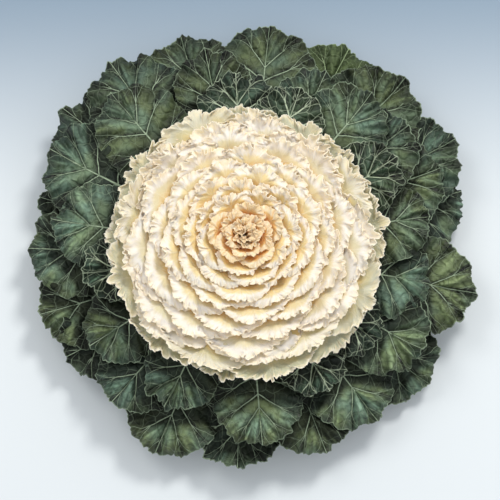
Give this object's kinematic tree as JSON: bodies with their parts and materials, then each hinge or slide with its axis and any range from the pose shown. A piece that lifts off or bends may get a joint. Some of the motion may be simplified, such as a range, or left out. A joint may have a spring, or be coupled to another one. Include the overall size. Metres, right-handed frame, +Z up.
{
  "type": "ornamental kale plant",
  "caption": "Flat-topped ornamental kale rosette cut at its short stem: ruffled white head with a peach heart in a collar of waved dark green leaves.",
  "frame": {"origin": "centre of the flat cut face of the stem, on the surface the plant stands on", "axes": "+Z up along the stem; +Y towards the back of the plant as it was pictured, +X to its right"},
  "size_m": [0.3189, 0.3248, 0.1053],
  "materials": {
    "stem": "matt, pale green, fibrous cut face",
    "green_leaf": "satin, dark bluish green with paler veins",
    "light_green_leaf": "satin, yellowish green with paler veins",
    "veined_leaf": "satin, dark green with a near-white net of veins",
    "white_leaf": "soft satin, creamy white, paler at the frilled margin",
    "heart_leaf": "soft satin, cream deepening to pale yellow inward",
    "bud_leaf": "soft satin, peach with a pinkish brown middle"
  },
  "bodies": {
    "root": {"stem": "stem", "outer_leaf_01": "green_leaf", "outer_leaf_02": "green_leaf", "outer_leaf_03": "green_leaf", "outer_leaf_04": "light_green_leaf", "outer_leaf_05": "green_leaf", "outer_leaf_06": "green_leaf", "outer_leaf_07": "green_leaf", "outer_leaf_08": "green_leaf", "outer_leaf_09": "green_leaf", "outer_leaf_10": "green_leaf", "outer_leaf_11": "green_leaf", "outer_leaf_12": "green_leaf", "outer_leaf_13": "green_leaf", "outer_leaf_14": "green_leaf", "outer_leaf_15": "green_leaf", "outer_leaf_16": "green_leaf", "outer_leaf_17": "green_leaf", "outer_leaf_18": "green_leaf", "outer_leaf_19": "green_leaf", "outer_leaf_20": "green_leaf", "middle_leaf_01": "green_leaf", "middle_leaf_02": "green_leaf", "middle_leaf_03": "green_leaf", "middle_leaf_04": "green_leaf", "middle_leaf_05": "green_leaf", "middle_leaf_06": "green_leaf", "middle_leaf_07": "green_leaf", "middle_leaf_08": "green_leaf", "middle_leaf_09": "green_leaf", "middle_leaf_10": "green_leaf", "middle_leaf_11": "green_leaf", "middle_leaf_12": "green_leaf", "middle_leaf_13": "green_leaf", "inner_leaf_01": "veined_leaf", "inner_leaf_02": "veined_leaf", "inner_leaf_03": "veined_leaf", "inner_leaf_04": "veined_leaf", "inner_leaf_05": "veined_leaf", "inner_leaf_06": "veined_leaf", "white_leaf_01": "white_leaf", "white_leaf_02": "white_leaf", "white_leaf_03": "white_leaf", "white_leaf_04": "white_leaf", "white_leaf_05": "white_leaf", "white_leaf_06": "white_leaf", "white_leaf_07": "white_leaf", "white_leaf_08": "white_leaf", "white_leaf_09": "white_leaf", "white_leaf_10": "white_leaf", "white_leaf_11": "white_leaf", "white_leaf_12": "white_leaf", "white_leaf_13": "white_leaf", "white_leaf_14": "white_leaf", "white_leaf_15": "white_leaf", "white_leaf_16": "white_leaf", "white_leaf_17": "white_leaf", "heart": "heart_leaf", "heart_bud": "bud_leaf"}
  },
  "joints": []
}
